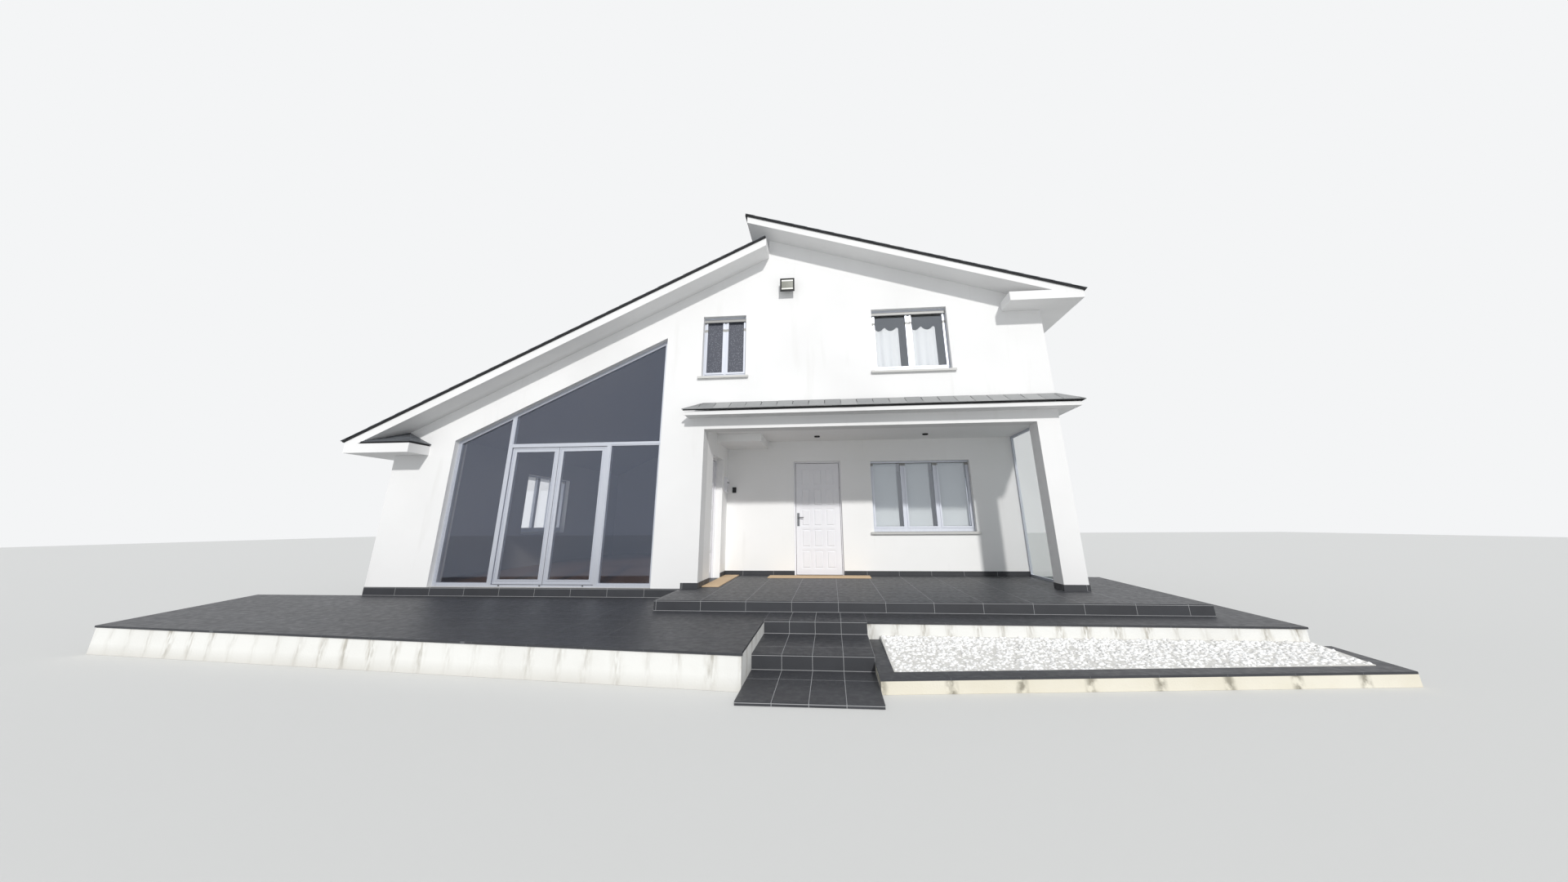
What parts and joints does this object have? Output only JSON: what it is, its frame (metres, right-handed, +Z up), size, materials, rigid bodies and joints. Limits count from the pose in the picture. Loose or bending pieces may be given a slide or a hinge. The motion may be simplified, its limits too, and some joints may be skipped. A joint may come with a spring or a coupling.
{
  "type": "beach house",
  "caption": "Two-storey white rendered house with a tall sloped glazing, an open tiled porch, slate roofs that pass at the ridge, terraces and entry steps.",
  "frame": {"origin": "on the ground under the middle of the whole footprint, terraces and landing included", "axes": "+Z up, -Y towards the front with the porch and the large glazing, +X to the right when facing the front"},
  "size_m": [15.077, 13.018, 6.8456],
  "materials": {
    "render": "smooth white masonry render",
    "terrace_render": "white render with grey-brown run-off stains",
    "tile": "matt charcoal porcelain tile with pale grout",
    "kerb_stone": "cream render, stained",
    "gravel": "white tumbled pebbles",
    "slate": "split natural slate",
    "frame_aluminium": "satin anodised",
    "glass": "clear float glass, dark inside",
    "door_paint": "white satin paint",
    "handle_steel": "satin",
    "sill_stone": "light grey artificial stone",
    "lamp_metal": "dark grey powder coat",
    "letterbox_metal": "white powder coat",
    "cloth": "thin white cotton",
    "coir": "brushed coir"
  },
  "bodies": {
    "root": {"ground_floor": "render", "upper_floor": "render", "front_wall_left": "render", "front_wall_over_glazing": "render", "front_pier": "render", "front_wall_upper": "render", "porch_beam": "render", "porch_column": "render", "porch_back_wall_left": "render", "porch_back_wall_right": "render", "porch_side_walls": "render", "door_heads": "render", "left_wall": "render", "right_wall": "render", "rear_wall_left": "render", "rear_wall_right": "render", "ridge_wall": "render", "left_roof": "render", "right_roof": "render", "porch_roof": "render", "ceiling_box": "render", "terrace_walls": "terrace_render", "terrace_tiles": "tile", "porch_platform": "tile", "entry_steps": "tile", "planter_kerb_tiles": "tile", "tile_skirting": "tile", "planter_kerb": "kerb_stone", "gravel_bed": "gravel", "roof_slates": "slate", "small_roof_slates": "slate", "glazing_frame": "frame_aluminium", "window_frames": "frame_aluminium", "glass_screen_frame": "frame_aluminium", "glazing_panes": "glass", "window_panes": "glass", "glass_screen": "glass", "door_frames": "door_paint", "window_sills": "sill_stone", "floodlight": "lamp_metal", "letterbox": "letterbox_metal"},
    "front_door": {"front_door": "door_paint", "front_door_handle": "handle_steel"},
    "side_door": {"side_door": "door_paint", "side_door_handle": "handle_steel"},
    "french_left": {"french_door_left": "frame_aluminium", "french_door_left_glass": "glass"},
    "french_right": {"french_door_right": "frame_aluminium", "french_door_right_glass": "glass"}
  },
  "joints": [
    {"name": "front_door_hinge", "type": "hinge", "parent": "root", "child": "front_door", "pos_m": [2.275, -0.7917, 1.528], "axis": [0, 0, -1], "range_deg": [0, 90]},
    {"name": "side_door_hinge", "type": "hinge", "parent": "root", "child": "side_door", "pos_m": [-0.2263, -1.439, 1.528], "axis": [0, 0, -1], "range_deg": [0, 90]},
    {"name": "french_left_hinge", "type": "hinge", "parent": "root", "child": "french_left", "pos_m": [-3.489, -2.7917, 1.528], "axis": [0, 0, 1], "range_deg": [0, 90]},
    {"name": "french_right_hinge", "type": "hinge", "parent": "root", "child": "french_right", "pos_m": [-1.76, -2.7917, 1.528], "axis": [0, 0, -1], "range_deg": [0, 90]}
  ]
}
